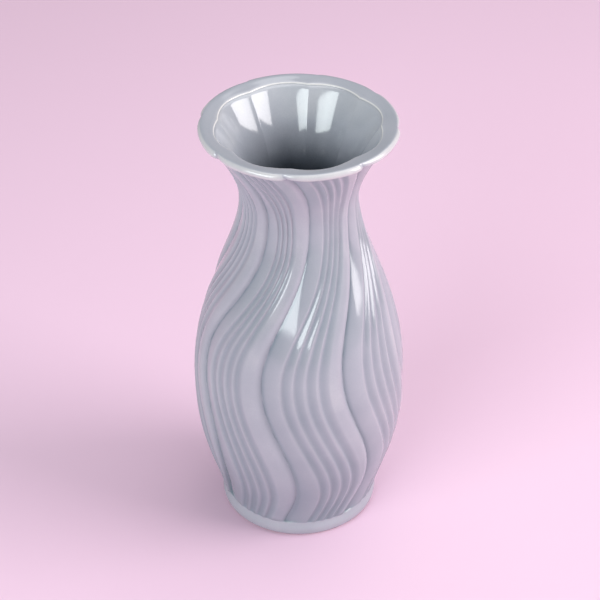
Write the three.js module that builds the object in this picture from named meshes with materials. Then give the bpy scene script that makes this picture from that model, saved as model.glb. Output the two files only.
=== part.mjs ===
// A slip-cast earthenware vase with a flared lip and wave-shaped ribs, glazed outside, inside and underneath.
// Millimetres, +Z up. The foot stands on z = 0, centred on the origin, and -Y is the front.
import * as THREE from "three";

// Outer outline, over the highest part of the relief. Each rise starts where the one below it ends.
const FOOT_RADIUS = 43.5;
const FOOT_BULGE = 3;
const FOOT_HEIGHT = 9.5;
const LEDGE_SETBACK = 1;
const LEDGE_RISE = 0.6;
const BODY_SETBACK = 0.1;
const BODY_LEAN = 13;
const BODY_FULLNESS = 24.6;
const BELLY_RADIUS = 58;
const BELLY_RISE = 76.6;
const BELLY_FULLNESS_BELOW = 42.3;
const BELLY_FULLNESS_ABOVE = 50.2;
const NECK_RADIUS = 31.2;
const SHOULDER_RISE = 112.8;
const NECK_FULLNESS_BELOW = 26.3;
const NECK_FULLNESS_ABOVE = 12.6;
const FLARE_RISE = 39.7;
const FLARE_LEAN = 36;
const FLARE_FULLNESS = 12;

// Lip: a rounded edge that stands out past the flare, a top that falls inwards, and a rounded step to the funnel.
const LIP_RADIUS = 51.8;
const LIP_EDGE = 2;
const LIP_OVERHANG = 3.6;
const LIP_WIDTH = 7.6;
const LIP_FALL = 1.2;
const MOUTH_ROUNDING = 0.7;
const FUNNEL_LEAN = 34;
const FUNNEL_FULLNESS = 11.5;

// Relief: repeats of one crease, a hollow that climbs to the first rib, ribs, and a band that rolls into the next
// crease. The angles are parts of one repeat, in degrees, and a groove lies close after each rib's crest.
const REPEATS = 8;
const RIBS = 4;
const FIRST_RIB_ANGLE = 10.6;
const BAND_ANGLE = 37.4;
const GROOVE_SHARE = 0.27;
const ROLL_ANGLE = 42.7;
const CREASE_DEPTH = 2.4;
const HOLLOW_DEPTH = 1.3;
const FIRST_RIB_DEPTH = 0.5;
const RIB_DEPTH = 1.1;
const ROLL_DEPTH = 0.6;
const LIP_NOTCH_SHARE = 0.86;
const FLUTE_DEPTH = 2;
const FLUTE_FADE = 60;

// Wave that the crease and ribs follow: angles, and the heights where it turns below the neck.
const WAVE_UNDER_ANGLE = -21.5;
const WAVE_UNDER_DROP = 61;
const WAVE_FOOT_ANGLE = -1.5;
const WAVE_FOOT_HEIGHT = 39;
const WAVE_BELLY_ANGLE = -21.6;
const WAVE_BELLY_CLIMB = 77;
const WAVE_NECK_ANGLE = 10.8;
const WAVE_LIP_SWEEP = 20;
const WAVE_INSIDE_LAG = 16;

// Hand carving: where the first rib and the band lie at the foot, belly, neck and lip, by how many degrees the
// repeats drift round the vase, with the share of that drift at heights, and how one crease leans with the height.
const FIRST_RIB_PLACES = [16, 10.4, 13.4, 10.4];
const BAND_PLACES = [42, 38.3, 34.7, 36.6];
const DRIFT = [[-180, -3], [-90, -3], [-45, -1.8], [-7.6, -4.8], [0, 0], [38, 0.2], [55, 4], [90, 6], [180, -3]];
const DRIFT_SHARES = [[9, 1.1], [112, 1], [174, 0.2], [210, 0.9], [243, 0.7]];
const LEAN = [[9, -9], [100, 1.5], [165, 6], [200, 4], [243, 0]];
const LEAN_SHARES = [[-90, 0], [-45, 1], [-34, 0.6], [-7.6, 0.15], [0, 0]];

// Layers: the clay behind the deepest crease, its floor and foot ring, and the glaze.
const CLAY_WALL = 2.2;
const CLAY_FLOOR = 6;
const RECESS_DEPTH = 2.5;
const RECESS_SLOPE = 1.5;
const FOOT_RING_WIDTH = 5.2;
const FLOOR_ROUNDING = 14;
const GLAZE_THIN = 0.35;
const GLAZE_POOLED = 0.7;
const GLAZE_INSIDE = 0.5;
const GLAZE_UNDERNEATH = 0.5;

// Heights and radii worked out from the sizes above.
const BODY_HEIGHT = FOOT_HEIGHT + LEDGE_RISE;
const BELLY_HEIGHT = BODY_HEIGHT + BELLY_RISE;
const NECK_HEIGHT = BELLY_HEIGHT + SHOULDER_RISE;
const FLARE_HEIGHT = NECK_HEIGHT + FLARE_RISE;
const HEIGHT = FLARE_HEIGHT + 2 * LIP_EDGE;
const BODY_RADIUS = FOOT_RADIUS - BODY_SETBACK;
const FLARE_RADIUS = LIP_RADIUS - LIP_OVERHANG;
const MOUTH_RADIUS = LIP_RADIUS - LIP_WIDTH;
const MOUTH_HEIGHT = HEIGHT - LIP_FALL;
const WALL = CREASE_DEPTH + GLAZE_POOLED + CLAY_WALL + GLAZE_INSIDE;
const FLOOR_HEIGHT = RECESS_DEPTH + CLAY_FLOOR + GLAZE_INSIDE;
const RING_OUTER = FOOT_RADIUS - FOOT_BULGE;
const RING_INNER = RING_OUTER - FOOT_RING_WIDTH;
const RECESS_RADIUS = RING_INNER - RECESS_SLOPE;
const REPEAT_ANGLE = 360 / REPEATS;
const CARVED_HEIGHTS = [FOOT_HEIGHT, BELLY_HEIGHT, NECK_HEIGHT, FLARE_HEIGHT];

const radians = THREE.MathUtils.degToRad;
const point = (radius, height) => new THREE.Vector2(radius, height);
const eased = (way) => (1 - Math.cos(Math.PI * way)) / 2;
const straight = (way) => way;

// A point set off from another by a length, leaning outwards from upright by an angle in degrees.
function leaning(from, length, lean) {
  return point(from.x + length * Math.sin(radians(lean)), from.y + length * Math.cos(radians(lean)));
}

// The value at a place on a list of stops, each with its place and value.
function between(stops, place, ease) {
  const next = stops.findIndex(([stop]) => stop >= place);
  if (next < 0) return stops.at(-1)[1];
  if (next === 0) return stops[0][1];
  const [lowPlace, lowValue] = stops[next - 1];
  const [highPlace, highValue] = stops[next];
  return lowValue + (highValue - lowValue) * ease((place - lowPlace) / (highPlace - lowPlace));
}

// The angle of the crease at a height. Inside it lags behind, and over the lip's top it goes from one to the other.
function waveAngle(height, inside) {
  const turns = [
    [WAVE_FOOT_HEIGHT - WAVE_UNDER_DROP, WAVE_UNDER_ANGLE],
    [WAVE_FOOT_HEIGHT, WAVE_FOOT_ANGLE],
    [WAVE_FOOT_HEIGHT + WAVE_BELLY_CLIMB, WAVE_BELLY_ANGLE],
    [NECK_HEIGHT, WAVE_NECK_ANGLE],
  ];
  const above = Math.max(0, height - NECK_HEIGHT) / (HEIGHT - NECK_HEIGHT);
  const outsideSweep = WAVE_LIP_SWEEP * above ** 1.8;
  return between(turns, height, eased) - THREE.MathUtils.lerp(outsideSweep, WAVE_INSIDE_LAG, inside);
}

// The angle from the wave at which a corner of a repeat was carved at a height.
function carvedAngle(repeat, angle, height) {
  const places = (list) => CARVED_HEIGHTS.map((turn, index) => [turn, list[index]]);
  const stops = [
    [0, 0],
    [FIRST_RIB_ANGLE, between(places(FIRST_RIB_PLACES), height, eased)],
    [BAND_ANGLE, between(places(BAND_PLACES), height, eased)],
    [REPEAT_ANGLE, REPEAT_ANGLE],
  ];
  const start = (repeat - REPEATS / 2) * REPEAT_ANGLE;
  const drift = between(DRIFT_SHARES, height, eased) * between(DRIFT, start + angle, straight);
  const lean = between(LEAN, height, eased) * between(LEAN_SHARES, start + angle, straight);
  return start + between(stops, angle, straight) + drift + lean;
}

// The corners of one repeat's relief: its angle from the crease, its depth and the depth of the groove in it.
function reliefCorners() {
  const corners = [
    { angle: 0, depth: CREASE_DEPTH, groove: 0 },
    { angle: FIRST_RIB_ANGLE / 2, depth: HOLLOW_DEPTH, groove: 0 },
  ];
  for (let rib = 0; rib < RIBS; rib += 1) {
    for (const [share, groove] of [[0, 0], [GROOVE_SHARE, RIB_DEPTH]]) {
      const climbed = (rib + share) / RIBS;
      const angle = FIRST_RIB_ANGLE + climbed * (BAND_ANGLE - FIRST_RIB_ANGLE);
      corners.push({ angle, depth: FIRST_RIB_DEPTH * (1 - climbed), groove });
    }
  }
  corners.push({ angle: BAND_ANGLE, depth: 0, groove: 0 }, { angle: ROLL_ANGLE, depth: ROLL_DEPTH, groove: 0 });
  return corners;
}
const CORNERS = reliefCorners();

// The direction out of the clay beside the ledge on the foot, and what is carved at a station without relief.
const SIDEWAYS = point(1, 0);
const PLAIN = { relief: 0, grooves: 0, inside: 0, flutes: 0 };

// Stations along a curve: its point, the direction out of the clay, and the shares of what is carved there.
function stations(curve, steps, shares) {
  return Array.from({ length: steps + 1 }, (_, step) => {
    const along = curve.getTangent(step / steps);
    const place = curve.getPoint(step / steps);
    return { place, out: point(along.y, -along.x), ...PLAIN, ...shares(place, step / steps) };
  });
}

// A ring round the axis: the station's point set in by the relief and the flutes, and back by a coat.
function ring(station, corners, coat) {
  const { place, out } = station;
  const points = [];
  for (let repeat = 0; repeat < REPEATS; repeat += 1) {
    for (const { angle, depth, groove } of corners) {
      const turn = radians(waveAngle(place.y, station.inside) + carvedAngle(repeat, angle, place.y));
      const cut = station.relief * (depth + station.grooves * groove);
      const flute = station.flutes * FLUTE_DEPTH * (1 - Math.sin(Math.PI * angle / REPEAT_ANGLE));
      const radius = place.x - cut - flute - out.x * coat(cut);
      const height = place.y - out.y * coat(cut);
      points.push(new THREE.Vector3(radius * Math.sin(turn), -radius * Math.cos(turn), height));
    }
  }
  return points;
}

// Outside, from the lower edge of the glaze on the foot over the lip to the start of the funnel.
function outsideStations() {
  const notched = (place, way) => ({ relief: LIP_NOTCH_SHARE * Math.cos(Math.PI / 2 * way) });
  const carved = (place) => ({ relief: Math.sqrt(Math.min(1, place.x / BELLY_RADIUS)), grooves: 1 });
  const foot = new THREE.EllipseCurve(
    FOOT_RADIUS - FOOT_BULGE, FOOT_HEIGHT / 2, FOOT_BULGE, FOOT_HEIGHT / 2, radians(-60), radians(45),
  );
  const bodyFoot = point(BODY_RADIUS, BODY_HEIGHT);
  const belly = point(BELLY_RADIUS, BELLY_HEIGHT);
  const neck = point(NECK_RADIUS, NECK_HEIGHT);
  const flareTop = point(FLARE_RADIUS, FLARE_HEIGHT);
  const lower = new THREE.CubicBezierCurve(
    bodyFoot, leaning(bodyFoot, BODY_FULLNESS, BODY_LEAN), leaning(belly, -BELLY_FULLNESS_BELOW, 0), belly,
  );
  const shoulder = new THREE.CubicBezierCurve(
    belly, leaning(belly, BELLY_FULLNESS_ABOVE, 0), leaning(neck, -NECK_FULLNESS_BELOW, 0), neck,
  );
  const flare = new THREE.CubicBezierCurve(
    neck, leaning(neck, NECK_FULLNESS_ABOVE, 0), leaning(flareTop, -FLARE_FULLNESS, FLARE_LEAN), flareTop,
  );
  const edge = new THREE.EllipseCurve(
    LIP_RADIUS - LIP_EDGE, HEIGHT - LIP_EDGE, LIP_EDGE, LIP_EDGE, radians(-70), radians(90),
  );
  const top = new THREE.LineCurve(point(LIP_RADIUS - LIP_EDGE, HEIGHT), point(MOUTH_RADIUS, MOUTH_HEIGHT));
  const mouth = new THREE.EllipseCurve(
    MOUTH_RADIUS, MOUTH_HEIGHT - MOUTH_ROUNDING, MOUTH_ROUNDING, MOUTH_ROUNDING, radians(90), radians(180),
  );
  const ledge = { place: point(FOOT_RADIUS - LEDGE_SETBACK, FOOT_HEIGHT), out: SIDEWAYS, ...PLAIN };
  const body = stations(lower, 6, carved);
  body[0].out = SIDEWAYS;
  return [
    ...stations(foot, 3, () => PLAIN),
    ledge,
    ...body,
    ...stations(shoulder, 8, carved).slice(1),
    ...stations(flare, 4, carved).slice(1),
    ...stations(edge, 3, notched),
    ...stations(top, 1, (place, way) => ({ inside: way, flutes: way })).slice(1),
    ...stations(mouth, 2, () => ({ inside: 1, flutes: 1 })).slice(1),
  ];
}

// Inside, from the start of the funnel down the neck and the belly to the middle of the floor.
function insideStations() {
  const fluted = ({ x, y }) => {
    return { inside: 1, flutes: Math.min(1, (x / MOUTH_RADIUS) ** 1.5, (y - FLOOR_HEIGHT) / FLUTE_FADE) };
  };
  const mouth = point(MOUTH_RADIUS - MOUTH_ROUNDING, MOUTH_HEIGHT - MOUTH_ROUNDING);
  const neck = point(NECK_RADIUS - WALL, NECK_HEIGHT);
  const belly = point(BELLY_RADIUS - WALL, BELLY_HEIGHT);
  const floor = point(BODY_RADIUS - WALL - FLOOR_ROUNDING, FLOOR_HEIGHT);
  const funnel = new THREE.CubicBezierCurve(
    mouth, leaning(mouth, -FUNNEL_FULLNESS, FUNNEL_LEAN), leaning(neck, NECK_FULLNESS_ABOVE, 0), neck,
  );
  const shoulder = new THREE.CubicBezierCurve(
    neck, leaning(neck, -NECK_FULLNESS_BELOW, 0), leaning(belly, BELLY_FULLNESS_ABOVE, 0), belly,
  );
  const lower = new THREE.CubicBezierCurve(
    belly, leaning(belly, -BELLY_FULLNESS_BELOW, 0), point(BODY_RADIUS - WALL, FLOOR_HEIGHT), floor,
  );
  const middle = new THREE.LineCurve(floor, point(0, FLOOR_HEIGHT));
  return [
    ...stations(funnel, 4, fluted).slice(1),
    ...stations(shoulder, 5, fluted).slice(1),
    ...stations(lower, 5, fluted).slice(1),
    ...stations(middle, 1, fluted).slice(1),
  ];
}

// Triangles between rings that follow one another; a ring with half as many points is stretched to its neighbour.
// Facing 1 turns them out of the clay and -1 into it, and both cut each square along the same diagonal.
function skin(rings, facing) {
  const corners = [];
  const stretch = (points, length) => (points.length < length ? points.flatMap((p) => [p, p]) : points);
  const triangle = (a, b, c) => {
    if (a.equals(b) || b.equals(c) || c.equals(a)) return;
    corners.push(a, ...(facing > 0 ? [b, c] : [c, b]));
  };
  for (let row = 0; row + 1 < rings.length; row += 1) {
    const length = Math.max(rings[row].length, rings[row + 1].length);
    const low = stretch(rings[row], length);
    const high = stretch(rings[row + 1], length);
    for (let column = 0; column < length; column += 1) {
      const next = (column + 1) % length;
      triangle(low[column], low[next], high[next]);
      triangle(low[column], high[next], high[column]);
    }
  }
  return corners;
}

function subPart(name, colour, roughness, ...skins) {
  const geometry = new THREE.BufferGeometry().setFromPoints(skins.flat());
  geometry.computeVertexNormals();
  const mesh = new THREE.Mesh(geometry, new THREE.MeshStandardMaterial({ color: colour, roughness, metalness: 0 }));
  mesh.name = name;
  return mesh;
}

// Rings of the glazed and the clay faces. The plain inside takes every second column.
const HALF_CORNERS = CORNERS.filter((_, index) => index % 2 === 0);
const bare = () => 0;
const pooled = (cut) => GLAZE_THIN + (GLAZE_POOLED - GLAZE_THIN) * cut / CREASE_DEPTH;
const lined = () => GLAZE_INSIDE;
const outside = outsideStations();
const inside = insideStations();
const outsideGlaze = outside.map((station) => ring(station, CORNERS, bare));
const outsideClay = outside.map((station) => ring(station, CORNERS, pooled));
const insideGlaze = inside.map((station) => ring(station, HALF_CORNERS, bare));
const insideClay = inside.map((station) => ring(station, HALF_CORNERS, lined));
const lipGlaze = outsideGlaze.at(-1);
const lipClay = outsideClay.at(-1);
const flatRing = (radius, height) => {
  return ring({ place: point(radius, height), out: point(0, -1), ...PLAIN }, CORNERS, bare);
};
const recessMiddle = flatRing(0, RECESS_DEPTH);
const recessEdge = flatRing(RECESS_RADIUS, RECESS_DEPTH);
const underMiddle = flatRing(0, RECESS_DEPTH - GLAZE_UNDERNEATH);
const underEdge = flatRing(RECESS_RADIUS, RECESS_DEPTH - GLAZE_UNDERNEATH);
const footRing = [flatRing(RING_INNER, 0), flatRing(RING_OUTER, 0)];

const vase = new THREE.Group();
vase.add(
  subPart("clay_body", 0xe6ddd0, 0.9, skin([recessMiddle, recessEdge, ...footRing, ...outsideClay, ...insideClay], 1)),
  subPart(
    "outer_glaze", 0xa9aabd, 0.12,
    skin([outsideClay[0], ...outsideGlaze], 1), skin([lipGlaze, lipClay], 1), skin(outsideClay, -1),
  ),
  subPart(
    "inner_glaze", 0x9aa2b0, 0.12,
    skin([lipGlaze, ...insideGlaze], 1), skin([lipGlaze, lipClay], -1), skin([lipClay, ...insideClay], -1),
  ),
  subPart(
    "base_glaze", 0xa9aabd, 0.15,
    skin([underMiddle, underEdge, recessEdge], 1), skin([recessMiddle, recessEdge], -1),
  ),
);

export default vase;
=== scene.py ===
import math

import bpy
import numpy as np
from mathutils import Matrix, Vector


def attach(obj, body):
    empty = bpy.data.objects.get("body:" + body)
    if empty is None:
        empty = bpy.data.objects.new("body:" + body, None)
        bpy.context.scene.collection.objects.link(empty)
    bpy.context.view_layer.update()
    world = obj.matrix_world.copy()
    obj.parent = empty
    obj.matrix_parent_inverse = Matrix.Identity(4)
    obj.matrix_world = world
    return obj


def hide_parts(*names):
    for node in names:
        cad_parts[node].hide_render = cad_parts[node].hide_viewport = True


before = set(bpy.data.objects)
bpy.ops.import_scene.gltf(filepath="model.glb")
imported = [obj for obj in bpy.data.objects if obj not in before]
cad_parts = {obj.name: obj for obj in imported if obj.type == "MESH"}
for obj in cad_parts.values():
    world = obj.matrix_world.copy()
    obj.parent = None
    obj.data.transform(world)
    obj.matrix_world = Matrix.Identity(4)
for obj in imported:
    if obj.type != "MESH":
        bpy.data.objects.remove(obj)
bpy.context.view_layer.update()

bpy.context.scene.view_settings.view_transform = "Standard"

# Clay body: one slip-cast shell of white earthenware. Slip is poured into a plaster mould that is carved with
# the wave of creases and ribs, drained, dried and fired. Only the ring that it stands on stays bare.
MM = 0.001
FOOT_RADIUS = 43.5 * MM
FOOT_BULGE = 3.0 * MM
FOOT_HEIGHT = 9.5 * MM
LEDGE_SETBACK = 1.0 * MM
LEDGE_RISE = 0.6 * MM
BODY_RADIUS = 43.4 * MM
BELLY_RADIUS = 58.0 * MM
BELLY_HEIGHT = 86.7 * MM
NECK_RADIUS = 31.2 * MM
NECK_HEIGHT = 199.5 * MM
FLARE_RADIUS = 48.2 * MM
FLARE_HEIGHT = 239.2 * MM
LIP_RADIUS = 51.8 * MM
LIP_EDGE = 2.0 * MM
HEIGHT = 243.2 * MM
MOUTH_RADIUS = 44.2 * MM
MOUTH_HEIGHT = 242.0 * MM
MOUTH_ROUNDING = 0.7 * MM
WALL = 5.8 * MM
FLOOR_HEIGHT = 9.0 * MM
RECESS_DEPTH = 2.5 * MM
RECESS_RADIUS = 33.8 * MM
RING_INNER = 35.3 * MM
RING_OUTER = 40.5 * MM
GLAZE = 0.4 * MM
SLACK = 0.1 * MM
BARE_RISE = 0.5 * MM

BODY_LEAN = (5.5 * MM, 24.0 * MM)
BELLY_FULLNESS_BELOW = 42.3 * MM
BELLY_FULLNESS_ABOVE = 50.2 * MM
NECK_FULLNESS_BELOW = 26.3 * MM
NECK_FULLNESS_ABOVE = 12.6 * MM
FLARE_LEAN = (7.0 * MM, 9.7 * MM)
FUNNEL_LEAN = (6.4 * MM, 9.5 * MM)
FLOOR_RADIUS = 23.6 * MM
FLOOR_FULLNESS = 14.0 * MM

REPEATS = 8
REPEAT_ANGLE = 360 / REPEATS
COLUMNS = 60 * REPEATS
RIBS = 4
FIRST_RIB_ANGLE = 10.6
BAND_ANGLE = 37.4
GROOVE_SHARE = 0.27
CREASE_DEPTH = 2.4 * MM
FIRST_RIB_DEPTH = 0.5 * MM
RIB_DEPTH = 1.1 * MM
FLUTE_DEPTH = 2.0 * MM
GROOVE_CURVE = 1.3
HOLLOW_CURVE = 0.8
BAND_CURVE = 4
RELIEF_UNDER_LIP = 0.92
RELIEF_ON_LIP = 0.62
COLUMN_CROWDING = 0.35


def arc(centre, radii, start, end, steps):
    """A stretch that follows an ellipse between two angles in degrees, counted from outwards to upwards."""
    first, last = math.radians(start), math.radians(end)
    reach = 4 / 3 * math.tan((last - first) / 4)
    spot = lambda turn: Vector((centre[0] + radii[0] * math.cos(turn), centre[1] + radii[1] * math.sin(turn)))
    along = lambda turn: Vector((-radii[0] * math.sin(turn), radii[1] * math.cos(turn)))
    leaving, arriving = spot(first) + reach * along(first), spot(last) - reach * along(last)
    return spot(first), leaving, arriving, spot(last), steps


def line(start, end, steps):
    """A straight stretch."""
    start, end = Vector(start), Vector(end)
    return start, start.lerp(end, 1 / 3), start.lerp(end, 2 / 3), end, steps


def bend(start, leaving, arriving, end, steps):
    """A curved stretch whose handles are set off from its ends."""
    start, end = Vector(start), Vector(end)
    return start, start + Vector(leaving), end + Vector(arriving), end, steps


FUNNEL = (MOUTH_RADIUS - MOUTH_ROUNDING, MOUTH_HEIGHT - MOUTH_ROUNDING)


def outside_stretches():
    """The outer outline from the lower edge of the foot over the lip to the start of the funnel."""
    foot_middle = (FOOT_RADIUS - FOOT_BULGE, FOOT_HEIGHT / 2)
    foot_radii = (FOOT_BULGE, FOOT_HEIGHT / 2)
    lip_middle = (LIP_RADIUS - LIP_EDGE, HEIGHT - LIP_EDGE)
    lip_radii = (LIP_EDGE, LIP_EDGE)
    foot = arc(foot_middle, foot_radii, -60, 45, 6)
    edge = arc(lip_middle, lip_radii, -70, 90, 8)
    ledge = (FOOT_RADIUS - LEDGE_SETBACK, FOOT_HEIGHT)
    body_foot = (BODY_RADIUS, FOOT_HEIGHT + LEDGE_RISE)
    belly = (BELLY_RADIUS, BELLY_HEIGHT)
    neck = (NECK_RADIUS, NECK_HEIGHT)
    flare = (FLARE_RADIUS, FLARE_HEIGHT)
    mouth = (MOUTH_RADIUS, MOUTH_HEIGHT)
    return [
        foot,
        line(foot[3], ledge, 1),
        line(ledge, body_foot, 2),
        bend(body_foot, BODY_LEAN, (0, -BELLY_FULLNESS_BELOW), belly, 22),
        bend(belly, (0, BELLY_FULLNESS_ABOVE), (0, -NECK_FULLNESS_BELOW), neck, 32),
        bend(neck, (0, NECK_FULLNESS_ABOVE), -Vector(FLARE_LEAN), flare, 16),
        bend(flare, (0.5 * MM, 0.6 * MM), (-0.8 * MM, -0.3 * MM), edge[0], 3),
        edge,
        bend(edge[3], (-1.4 * MM, 0), (2.2 * MM, 0.4 * MM), mouth, 5),
        bend(mouth, (-0.38 * MM, -0.07 * MM), (0.2 * MM, 0.35 * MM), FUNNEL, 5),
    ]


def inside_stretches():
    """The inner outline from the start of the funnel through the belly to the middle of the floor."""
    neck = (NECK_RADIUS - WALL, NECK_HEIGHT)
    belly = (BELLY_RADIUS - WALL, BELLY_HEIGHT)
    floor = (FLOOR_RADIUS, FLOOR_HEIGHT)
    return [
        bend(FUNNEL, -Vector(FUNNEL_LEAN), (0, NECK_FULLNESS_ABOVE), neck, 16),
        bend(neck, (0, -NECK_FULLNESS_BELOW), (0, BELLY_FULLNESS_ABOVE), belly, 20),
        bend(belly, (0, -BELLY_FULLNESS_BELOW), (FLOOR_FULLNESS, 0), floor, 14),
        line(floor, (0, FLOOR_HEIGHT), 4),
    ]


def between(stops, places):
    """Eases from stop to stop along a list of places and values."""
    ends, values = np.array(stops).T
    low = np.clip(np.searchsorted(ends, places) - 1, 0, len(ends) - 2)
    way = np.clip((places - ends[low]) / (ends[low + 1] - ends[low]), 0, 1)
    return values[low] + (values[low + 1] - values[low]) * (1 - np.cos(np.pi * way)) / 2


def wave_angles(radii, heights, inner):
    """The angle of the crease at each spot, in degrees to the right of the front."""
    flare_sweep, lip_sweep, inside_lag = 23.0, 3.0, 16.0
    below = between([(-22 * MM, -21.5), (39 * MM, -1.5), (116 * MM, -21.6), (NECK_HEIGHT, 10.8)], heights)
    above = np.maximum(0, heights - NECK_HEIGHT) / (HEIGHT - NECK_HEIGHT)
    top = np.where(inner, 1, over_the_lip(radii, heights))
    return below - (flare_sweep * above**2 - lip_sweep * above**6) * (1 - top) - inside_lag * top


def over_the_lip(radii, heights):
    """How far a spot is across the top of the lip, from its edge to the mouth."""
    across = np.clip((LIP_RADIUS - LIP_EDGE - radii) / (LIP_RADIUS - LIP_EDGE - MOUTH_RADIUS), 0, 1)
    return np.where(heights > FLARE_HEIGHT + 0.5 * MM, across, 0)


def carved_angles(columns, heights):
    """Where the carver put each column: ribs crowd and spread with the height, and repeats differ."""
    parts = columns % REPEAT_ANGLE
    first_stops = [
        (9 * MM, 16), (77 * MM, 10.4), (97 * MM, 10.4),
        (174 * MM, 13.4), (192 * MM, 13.2), (224 * MM, 10.4),
    ]
    band_stops = [
        (9 * MM, 42), (82 * MM, 38.2), (117 * MM, 38.4),
        (174 * MM, 34.6), (190 * MM, 34.8), (217 * MM, 36.6),
    ]
    first = between(first_stops, heights) - FIRST_RIB_ANGLE
    band = between(band_stops, heights) - BAND_ANGLE
    ribs = first + (band - first) * (parts - FIRST_RIB_ANGLE) / (BAND_ANGLE - FIRST_RIB_ANGLE)
    shift = np.where(parts < FIRST_RIB_ANGLE, first * parts / FIRST_RIB_ANGLE, ribs)
    shift = np.where(parts > BAND_ANGLE, band * (REPEAT_ANGLE - parts) / (REPEAT_ANGLE - BAND_ANGLE), shift)
    drift = [
        (-180, -3), (-90, -3), (-45, -1.8), (-34, -2.8), (-7.6, -4.8), (0, 0),
        (38, 0.2), (45, 2.4), (55, 4), (90, 6), (180, -3),
    ]
    drift_stops = [(9 * MM, 1.1), (112 * MM, 1), (174 * MM, 0.2), (210 * MM, 0.9), (HEIGHT, 0.7)]
    drift_share = between(drift_stops, heights)
    lean = between([(9 * MM, -9), (100 * MM, 1.5), (165 * MM, 6), (200 * MM, 4), (HEIGHT, 0)], heights)
    lean_share = [(-90, 0), (-45, 1), (-34, 0.6), (-7.6, 0.15), (0, 0)]
    drifted = drift_share * np.interp(columns, *np.array(drift).T)
    return columns + shift + drifted + lean * np.interp(columns, *np.array(lean_share).T)


def grooves(parts):
    """The grooves between the ribs: a short steep side after each crest, then a long climb to the next."""
    along = RIBS * np.clip((parts - FIRST_RIB_ANGLE) / (BAND_ANGLE - FIRST_RIB_ANGLE), 0, 1) % 1
    fall = np.sin(np.pi / 2 * np.minimum(along / GROOVE_SHARE, 1)) ** GROOVE_CURVE
    climb = np.cos(np.pi / 2 * np.maximum(along - GROOVE_SHARE, 0) / (1 - GROOVE_SHARE)) ** GROOVE_CURVE
    return fall * climb


def relief(columns, rib_depth):
    """The depth below the outline: a hollow that climbs to the first rib, ribs, and a band that rolls off."""
    parts = columns % REPEAT_ANGLE
    hollow = CREASE_DEPTH - (CREASE_DEPTH - FIRST_RIB_DEPTH) * (parts / FIRST_RIB_ANGLE) ** HOLLOW_CURVE
    climbed = np.clip((parts - FIRST_RIB_ANGLE) / (BAND_ANGLE - FIRST_RIB_ANGLE), 0, 1)
    ribs = FIRST_RIB_DEPTH * (1 - climbed) + rib_depth * grooves(parts)
    rolled = np.maximum(0, parts - BAND_ANGLE) / (REPEAT_ANGLE - BAND_ANGLE)
    band = CREASE_DEPTH * rolled**BAND_CURVE
    return np.where(parts < FIRST_RIB_ANGLE, hollow, np.where(parts > BAND_ANGLE, band, ribs))


def relief_share(radii, heights, outward):
    """How much of the relief shows: none on the foot, less on a narrow neck, fading over the lip's edge."""
    ledge = np.clip((heights - FOOT_HEIGHT) / LEDGE_RISE, 0, 1)
    faded = (RELIEF_UNDER_LIP - RELIEF_ON_LIP) * (heights - FLARE_HEIGHT) / LIP_EDGE
    under = RELIEF_UNDER_LIP - faded
    edge = RELIEF_ON_LIP * np.sqrt(np.clip((outward - 0.15) / 0.85, 0, 1))
    lip = np.where(heights < HEIGHT - LIP_EDGE, under, edge)
    return np.where(heights < FLARE_HEIGHT, ledge * np.sqrt(radii / BELLY_RADIUS), lip)


def flute(columns):
    """How far the soft ridge inside each crease stands in towards the axis."""
    return FLUTE_DEPTH * (1 - np.sin(np.pi * (columns % REPEAT_ANGLE) / REPEAT_ANGLE))


def flute_share(radii, heights, inner):
    """How much of the flutes shows: all at the mouth, less where it is narrow, and none on the floor."""
    below = np.minimum((radii / MOUTH_RADIUS) ** 1.5, (heights - FLOOR_HEIGHT) / (60 * MM))
    return np.where(inner, np.clip(below, 0, 1), over_the_lip(radii, heights) ** 2)


def spun(name, stretches):
    """Draws an outline as Bezier curves, turns it into a mesh and spins it round the axis."""
    bpy.ops.object.select_all(action="DESELECT")
    bpy.ops.curve.primitive_bezier_curve_add()
    piece = bpy.context.object
    piece.name = name
    piece.data.splines.clear()
    for start, leaving, arriving, end, steps in stretches:
        spline = piece.data.splines.new("BEZIER")
        spline.bezier_points.add(1)
        spline.resolution_u = steps
        for knot, place, handle in zip(spline.bezier_points, (start, end), (leaving, arriving)):
            knot.handle_left_type = "FREE"
            knot.handle_right_type = "FREE"
            knot.co = (place[0], 0, place[1])
            knot.handle_left = (handle[0], 0, handle[1])
            knot.handle_right = (handle[0], 0, handle[1])
    bpy.ops.object.convert(target="MESH")
    piece.data.name = name
    bpy.ops.object.mode_set(mode="EDIT")
    bpy.ops.mesh.select_all(action="SELECT")
    bpy.ops.mesh.remove_doubles(threshold=0.001 * MM)
    bpy.ops.mesh.spin(steps=COLUMNS, angle=math.tau, center=(0, 0, 0), axis=(0, 0, 1))
    bpy.ops.mesh.select_all(action="SELECT")
    bpy.ops.mesh.remove_doubles(threshold=0.001 * MM)
    bpy.ops.mesh.normals_make_consistent(inside=False)
    bpy.ops.object.mode_set(mode="OBJECT")
    return piece


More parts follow.
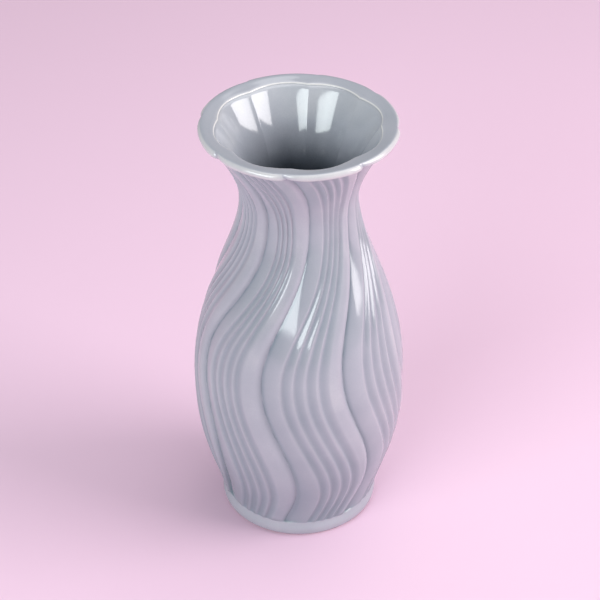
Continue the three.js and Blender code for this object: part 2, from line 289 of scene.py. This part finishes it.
def glaze_depth(columns, shares, radii, heights, outward, inner):
    """How deep the glaze lies, from 0 where it drew back from an edge to 1 where it pooled, together with
    painted highlights on the lip's edges and painted shade in the creases, hollows and grooves and down the
    funnel.
    """
    sprayed, groove_pool_and_shade, hollow_pool_and_shade, crease_pool_and_shade = 0.4, 0.37, 0.3, 0.3
    wall_run, foot_run, lip_pool, lip_loss_and_highlight, mouth_loss_and_highlight = 0.3, 0.05, 0.15, 0.25, 0.5
    liner_top, liner_painted_shade = 0.35, 0.65
    parts = columns % REPEAT_ANGLE
    # The grooves, the hollow and the crease line turn darker and bluer: partly pooled glaze, partly painted
    # shade.
    groove = grooves(parts) * np.clip((FLARE_HEIGHT - heights) / (2 * MM), 0, 1)
    hollow = np.clip(1 - parts / FIRST_RIB_ANGLE, 0, 1)
    crease = np.exp(-((np.minimum(parts, REPEAT_ANGLE - parts) / 1.5) ** 2))
    carved = shares * (groove_pool_and_shade * groove + hollow_pool_and_shade * hollow + crease_pool_and_shade * crease)
    low = np.clip((80 * MM - heights) / (60 * MM), 0, 1)
    run_down = low * np.where(heights > FOOT_HEIGHT, wall_run, foot_run)
    on_lip = heights > FLARE_HEIGHT + 0.5 * MM
    # The lip's outer edge and a thin line at the mouth's edge turn pale: partly glaze drawn back thin, partly
    # a painted highlight.
    lip_edge = np.clip(1.8 * outward, -0.15, 1)
    lip_top = np.clip(1 - 3 * np.abs(outward), 0, 1)
    mouth_edge = np.exp(-(((radii - FUNNEL[0] - 0.3 * MM) / (0.3 * MM)) ** 2))
    lip = np.where(on_lip, lip_pool * lip_top - lip_loss_and_highlight * lip_edge - mouth_loss_and_highlight * mouth_edge, 0)
    outside = sprayed + carved + run_down + lip
    # The liner darkens from the mouth down to the neck: this is painted shade inside the vase.
    inside = liner_top + liner_painted_shade * np.clip((228 * MM - heights) / (30 * MM), 0, 1)
    return np.clip(np.where(inner, inside, outside), 0, 1)


def vectors(mesh, kind):
    """The places or the normals of a mesh's points, one row each."""
    values = np.empty(3 * len(mesh.vertices))
    mesh.vertices.foreach_get(kind, values)
    return values.reshape(-1, 3)


def carve(piece, is_inside):
    """Turns each ring along the wave and sets it back by the relief or in by the flutes."""
    mesh = piece.data
    x, y, heights = vectors(mesh, "co").T
    radii = np.hypot(x, y)
    normals = vectors(mesh, "normal")
    outward = (normals[:, 0] * x + normals[:, 1] * y) / np.maximum(radii, 0.001 * MM)
    angles = np.degrees(np.arctan2(x, -y))
    crowding = COLUMN_CROWDING * REPEAT_ANGLE / math.tau
    columns = angles - crowding * np.sin(np.radians(REPEATS * angles))
    inner = is_inside(radii, heights, outward)
    shares = np.where(inner, 0, relief_share(radii, heights, outward))
    rib_depth = np.where(heights < FLARE_HEIGHT, RIB_DEPTH, 0)
    turns = np.radians(carved_angles(columns, heights) + wave_angles(radii, heights, inner))
    set_back = shares * relief(columns, rib_depth)
    set_in = flute_share(radii, heights, inner) * flute(columns)
    reach = radii - set_back - set_in
    carved = np.stack((reach * np.sin(turns), -reach * np.cos(turns), heights), 1)
    mesh.vertices.foreach_set("co", carved.ravel())
    depths_and_painted_light = glaze_depth(columns, shares, radii, heights, outward, inner)
    mesh.attributes.new("glaze_depth", "FLOAT", "POINT").data.foreach_set("value", depths_and_painted_light)
    mesh.update()
    bpy.ops.object.shade_smooth_by_angle(angle=math.radians(50))


def sink(piece):
    """Sets the clay back by the glaze that covers it, not on the bare ring, and straight in at the ledge."""
    mesh = piece.data
    spots = vectors(mesh, "co")
    x, y, heights = spots.T
    radii = np.maximum(np.hypot(x, y), 0.001 * MM)
    inwards = np.stack((x / radii, y / radii, 0 * radii), 1)
    bare = (heights < BARE_RISE) | ((heights < RECESS_DEPTH + SLACK) & (radii < RING_OUTER))
    at_ledge = (heights > FOOT_HEIGHT - SLACK) & (heights < FOOT_HEIGHT + LEDGE_RISE + SLACK)
    at_ledge = at_ledge & (radii > RING_OUTER - CREASE_DEPTH)
    ways = np.where(at_ledge[:, None], inwards, vectors(mesh, "normal"))
    sunk = spots - np.where(bare, 0, GLAZE)[:, None] * ways
    mesh.vertices.foreach_set("co", sunk.ravel())
    mesh.update()


class Wire:
    """A shader socket that can be reckoned with: each sum adds a Math node to its tree."""

    def __init__(self, tree, socket):
        self.tree = tree
        self.socket = socket

    def add(self, kind, settings, inputs, output=0):
        node = self.tree.nodes.new(kind)
        for name, value in settings.items():
            if name == "stops":
                while len(node.color_ramp.elements) < len(value):
                    node.color_ramp.elements.new(1)
                for stop, (position, colour) in zip(node.color_ramp.elements, value):
                    stop.position = position
                    stop.color = colour
            else:
                setattr(node, name, value)
        for name, value in inputs.items():
            if isinstance(value, Wire):
                self.tree.links.new(value.socket, node.inputs[name])
            else:
                node.inputs[name].default_value = value
        return Wire(self.tree, node.outputs[output])

    def maths(self, operation, first, second):
        return self.add("ShaderNodeMath", {"operation": operation}, {0: first, 1: second})

    def __add__(self, other):
        return self.maths("ADD", self, other)

    def __radd__(self, other):
        return self.maths("ADD", other, self)

    def __sub__(self, other):
        return self.maths("SUBTRACT", self, other)

    def __rsub__(self, other):
        return self.maths("SUBTRACT", other, self)

    def __mul__(self, other):
        return self.maths("MULTIPLY", self, other)

    def __rmul__(self, other):
        return self.maths("MULTIPLY", other, self)


def finish(name):
    """A new material: its shader node, and a wire with the Object coordinates for its patterns."""
    material = bpy.data.materials.new(name)
    material.use_nodes = True
    shader = material.node_tree.nodes["Principled BSDF"]
    start = Wire(material.node_tree, None)
    place = start.add("ShaderNodeTexCoord", {}, {}, "Object")
    return material, shader, place


def noise(place, scale, detail):
    """Noise with a number of patches to the metre."""
    return place.add("ShaderNodeTexNoise", {}, {"Vector": place, "Scale": scale, "Detail": detail})


def mixed(share, first, second):
    """Goes from the first colour to the second."""
    return share.add("ShaderNodeMix", {"data_type": "RGBA"}, {"Factor": share, "A": first, "B": second}, 2)


def plug(shader, **wires):
    """Links wires to a shader's sockets."""
    for name, wire in wires.items():
        wire.tree.links.new(wire.socket, shader.inputs[name.replace("_", " ")])


def fired_clay():
    """Matt off-white earthenware with a fine grain and a few darker specks."""
    material, shader, place = finish("fired_clay")
    dark_clay, pale_clay, speck_brown = (0.70, 0.63, 0.53, 1), (0.84, 0.79, 0.70, 1), (0.45, 0.36, 0.27, 1)
    grain = noise(place, 900, 4)
    spots = noise(place, 350, 2)
    stops = [(0.66, (0, 0, 0, 1)), (0.72, (1, 1, 1, 1))]
    specks = spots.add("ShaderNodeValToRGB", {"stops": stops}, {"Fac": spots})
    body = mixed(grain, dark_clay, pale_clay)
    pores = {"Strength": 0.25, "Distance": 0.2 * MM, "Height": grain}
    plug(shader, Base_Color=mixed(specks * 0.5, body, speck_brown))
    plug(shader, Roughness=0.8 + grain * 0.15)
    plug(shader, Normal=grain.add("ShaderNodeBump", {}, pores))
    return material


def shell_inside(radii, heights, outward):
    """Which spots lie inside the shell: the floor and all of the belly, and above the neck the funnel."""
    funnel = (outward < -0.2) & (radii < FUNNEL[0] + GLAZE)
    return (outward < 0.02) & (heights > FLOOR_HEIGHT - SLACK) & (funnel | (heights < NECK_HEIGHT))


underside = [
    line((0, RECESS_DEPTH), (RECESS_RADIUS, RECESS_DEPTH), 3),
    line((RECESS_RADIUS, RECESS_DEPTH), (RING_INNER, 0), 3),
    line((RING_INNER, 0), (RING_OUTER, 0), 3),
    line((RING_OUTER, 0), outside_stretches()[0][0], 2),
]
clay = spun("fired_clay_body", underside + outside_stretches() + inside_stretches())
carve(clay, shell_inside)
sink(clay)
clay.data.materials.append(fired_clay())
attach(clay, "root")
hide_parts("clay_body")

# Outer glaze: a glossy grey-lavender coat, sprayed over the outside and the lip and fired to a glass. It runs
# thin and pale on edges, and pools bluer in the creases and grooves. The pale lip edges also carry a painted
# highlight, and the bluer creases, hollows and grooves carry painted shade.


def glaze(name, drawn_back, thin, pooled):
    """Glossy glaze from its colour on edges to its colour in pools, faintly mottled and rippled. On the outer
    coat the edge colour also gives painted highlights, and on both coats the pool colour also gives painted
    shade.
    """
    material, shader, place = finish(name)
    depth = place.add("ShaderNodeAttribute", {"attribute_name": "glaze_depth"}, {}, "Fac")
    cloud = noise(place, 45, 3)
    fleck = noise(place, 1400, 2)
    depth = depth + (cloud - 0.5) * 0.3 + (fleck - 0.5) * 0.1
    stops = [(0, drawn_back), (0.4, thin), (1, pooled)]
    plug(shader, Base_Color=depth.add("ShaderNodeValToRGB", {"stops": stops}, {"Fac": depth}))
    plug(shader, Roughness=0.07 + 0.05 * noise(place, 160, 2))
    ripple = noise(place, 110, 2)
    waves = {"Strength": 0.12, "Distance": 0.15 * MM, "Height": ripple}
    plug(shader, Normal=ripple.add("ShaderNodeBump", {}, waves))
    shader.inputs["IOR"].default_value = 1.7
    return material


def coat(name, stretches, is_inside):
    """A glaze coat: one face is spun and carved, then given its thickness behind it."""
    piece = spun(name, stretches)
    carve(piece, is_inside)
    solidify = piece.modifiers.new("thickness", "SOLIDIFY")
    solidify.thickness = 0.9 * GLAZE
    solidify.offset = -1
    bpy.ops.object.modifier_apply(modifier=solidify.name)
    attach(piece, "root")
    return piece


outer = coat("outer_glaze_coat", outside_stretches(), lambda radii, heights, outward: radii < 0)
# The edge colour is partly a painted highlight on the lip, and the pool colour partly painted shade in the
# creases.
OUTER_EDGE_AND_HIGHLIGHT, OUTER_COAT, OUTER_POOL_AND_SHADE = (0.66, 0.65, 0.64, 1), (0.375, 0.39, 0.435, 1), (0.20, 0.245, 0.285, 1)
outer.data.materials.append(glaze("outer_glaze", OUTER_EDGE_AND_HIGHLIGHT, OUTER_COAT, OUTER_POOL_AND_SHADE))
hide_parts("outer_glaze")

# Inner glaze: the liner, poured in, swilled round and tipped out, that makes the clay hold water. It covers
# everything from the lip's inner edge down to the floor. Its colour darkens down the funnel towards near
# black, which is painted shade deep inside the vase.
inner = coat("inner_glaze_coat", inside_stretches(), lambda radii, heights, outward: radii >= 0)
LINER_EDGE, LINER_COAT, LINER_PAINTED_SHADE = (0.60, 0.59, 0.59, 1), (0.36, 0.38, 0.425, 1), (0.085, 0.105, 0.13, 1)
inner.data.materials.append(glaze("inner_glaze", LINER_EDGE, LINER_COAT, LINER_PAINTED_SHADE))
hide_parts("inner_glaze")

# Base glaze: the same glaze as outside, in the shallow recess under the foot. It is wiped off the ring around
# it before firing, so that the vase doesn't stick to the kiln shelf.
base_height = RECESS_DEPTH - SLACK
recess = [line((0, base_height), (RECESS_RADIUS - GLAZE, base_height), 6)]
base = coat("base_glaze_coat", recess, lambda radii, heights, outward: radii < 0)
base.data.materials.append(outer.data.materials[0])
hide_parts("base_glaze")

# Floor: a wide sheet of plain pale pink paper under the vase. It is matt, so it takes the vase's shadow and
# shows no mirror image of it.
bpy.ops.object.select_all(action="DESELECT")
bpy.ops.mesh.primitive_plane_add(size=8, location=(0, 1.5, 0))
paper = bpy.context.object
paper.name = "paper_floor"
material, shader, _ = finish("paper_floor")
shader.inputs["Base Color"].default_value = (0.79, 0.565, 0.705, 1)
shader.inputs["Roughness"].default_value = 0.9
shader.inputs["Specular IOR Level"].default_value = 0.1
paper.data.materials.append(material)

# Light: a pale room with three soft boxes. A large one at the right and a weaker one at the front left have a
# grid that keeps their light on the vase, and a wide one hangs overhead, a little behind and to the right.
world = bpy.data.worlds.new("pale_room")
world.use_nodes = True
world.node_tree.nodes["Background"].inputs["Color"].default_value = (0.95, 0.92, 0.97, 1)
world.node_tree.nodes["Background"].inputs["Strength"].default_value = 0.28
bpy.context.scene.world = world
LOOK_AT = Vector((0, 0, HEIGHT / 2))


def soft_box(name, azimuth, elevation, distance, width, height, power, colour, spread):
    """An area lamp that faces the vase. Azimuth counts from the front to the right; spread is its grid's."""
    turn, rise = math.radians(azimuth), math.radians(elevation)
    way = Vector((math.sin(turn) * math.cos(rise), -math.cos(turn) * math.cos(rise), math.sin(rise)))
    lamp = bpy.data.lights.new(name, "AREA")
    lamp.shape = "RECTANGLE"
    lamp.size = width
    lamp.size_y = height
    lamp.energy = power
    lamp.color = colour
    lamp.spread = math.radians(spread)
    box = bpy.data.objects.new(name, lamp)
    box.location = LOOK_AT + way * distance
    box.rotation_euler = way.to_track_quat("Z", "Y").to_euler()
    bpy.context.scene.collection.objects.link(box)


soft_box(
    "right_soft_box", azimuth=80, elevation=22, distance=1.6, width=1.1, height=1.2,
    power=10.5, colour=(1, 0.96, 0.97), spread=110,
)
soft_box(
    "left_soft_box", azimuth=-37, elevation=22, distance=1.6, width=1.2, height=0.9,
    power=8, colour=(0.92, 1, 1), spread=110,
)
soft_box(
    "overhead_soft_box", azimuth=125, elevation=70, distance=1.5, width=1.6, height=1.6,
    power=13, colour=(1, 0.99, 1), spread=180,
)

# Camera: a long lens that looks down on the vase from the front, set off sideways and upwards so that the
# vase's axis falls on its own pixel of the picture.
PITCH = math.radians(35.85)
DISTANCE = 1.084
FOCAL_PIXELS = 2000
AXIS_PIXEL = (298.9, 315.3)
IMAGE_PIXELS = 600
LOOK_HEIGHT = 122 * MM
forward = Vector((0, math.cos(PITCH), -math.sin(PITCH)))
upward = Vector((0, math.sin(PITCH), math.cos(PITCH)))
lens = bpy.data.cameras.new("camera")
lens.sensor_width = 36
lens.lens = lens.sensor_width * FOCAL_PIXELS / IMAGE_PIXELS
camera = bpy.data.objects.new("camera", lens)
camera.location = (
    Vector((0, 0, LOOK_HEIGHT)) - forward * DISTANCE
    - Vector((1, 0, 0)) * (AXIS_PIXEL[0] - IMAGE_PIXELS / 2) / FOCAL_PIXELS * DISTANCE
    + upward * (AXIS_PIXEL[1] - IMAGE_PIXELS / 2) / FOCAL_PIXELS * DISTANCE
)
camera.rotation_euler = (math.pi / 2 - PITCH, 0, 0)
bpy.context.scene.collection.objects.link(camera)
bpy.context.scene.camera = camera
